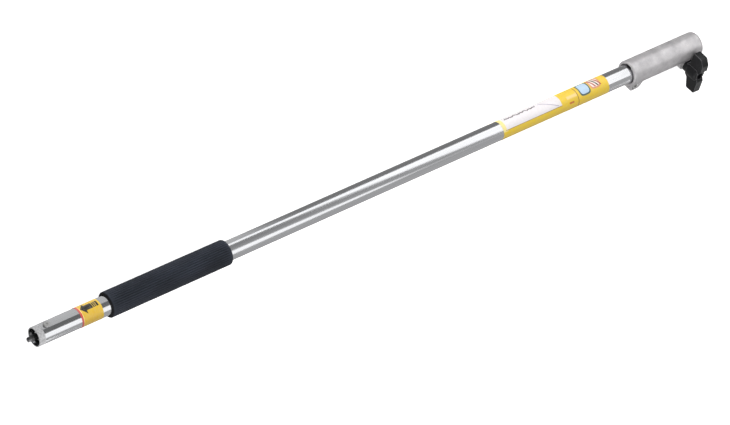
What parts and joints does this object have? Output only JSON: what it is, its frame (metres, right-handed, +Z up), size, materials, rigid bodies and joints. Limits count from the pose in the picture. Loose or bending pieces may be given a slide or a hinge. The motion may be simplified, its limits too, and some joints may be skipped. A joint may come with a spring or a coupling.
{
  "type": "drive shaft extension pole",
  "caption": "Rigid aluminium extension section of a split-shaft pole saw: drive shaft inside, spigot at one end, clamping coupling sleeve with wing screw at the other.",
  "frame": {"origin": "middle of the underside of the box, on the ground the pole lies on", "axes": "+X along the pole from the coupling sleeve to the spigot, -Y the side that the keyway and the locating lug face, +Z up, the side that the wing knob stands out on"},
  "size_m": [1.0882, 0.0766, 0.057],
  "materials": {
    "bright_aluminium": "drawn tube, brightly polished",
    "cast_aluminium": "die cast, tumbled satin",
    "black_plastic": "moulded, fine satin texture",
    "black_foam": "closed-cell foam, finely ribbed lengthwise",
    "arrow_label": "printed film, satin gloss",
    "info_label": "printed film, satin gloss",
    "drive_steel": "oiled dark steel, ground bright on the edges",
    "plated_steel": "zinc plated",
    "bearing_bronze": "sintered, oil filled",
    "black_rubber": "moulded matte"
  },
  "bodies": {
    "root": {"pole_tube": "bright_aluminium", "locating_lug": "plated_steel", "arrow_label": "arrow_label", "info_label": "info_label", "foam_grip": "black_foam", "tip_guide_bush": "black_rubber", "socket_bush": "black_plastic", "coupling_sleeve": "cast_aluminium", "tube_clamp_screw": "plated_steel", "tube_clamp_nut": "plated_steel", "wing_clamp_nut": "plated_steel", "bearing_bush_1": "bearing_bronze", "bearing_holder_1": "black_rubber", "bearing_bush_2": "bearing_bronze", "bearing_holder_2": "black_rubber", "bearing_bush_3": "bearing_bronze", "bearing_holder_3": "black_rubber", "bearing_bush_4": "bearing_bronze", "bearing_holder_4": "black_rubber"},
    "drive_line": {"drive_shaft": "drive_steel", "drive_socket": "drive_steel", "socket_pin": "plated_steel", "shaft_clip_1": "plated_steel", "shaft_clip_2": "plated_steel"},
    "wing_screw_carriage": {"wing_washer": "plated_steel"},
    "wing_screw": {"wing_knob": "black_plastic", "wing_stud": "plated_steel"}
  },
  "joints": [
    {"name": "drive_shaft_spin", "type": "hinge", "parent": "root", "child": "drive_line", "pos_m": [0.0347, -0.02061, 0.0177], "axis": [1, 0, 0], "continuous": true},
    {"name": "wing_screw_travel", "type": "slide", "parent": "root", "child": "wing_screw_carriage", "axis": [0, 0.3042, 0.9526], "range_m": [0, 0.0025]},
    {"name": "wing_screw_turn", "type": "hinge", "parent": "wing_screw_carriage", "child": "wing_screw", "pos_m": [-0.5266, -0.00013, 0.01116], "axis": [0, 0.3042, 0.9526], "range_deg": [0, 720]}
  ],
  "couplings": [
    {"joint": "wing_screw_turn", "follows": "wing_screw_travel", "rad_per_m": 5026.5}
  ]
}
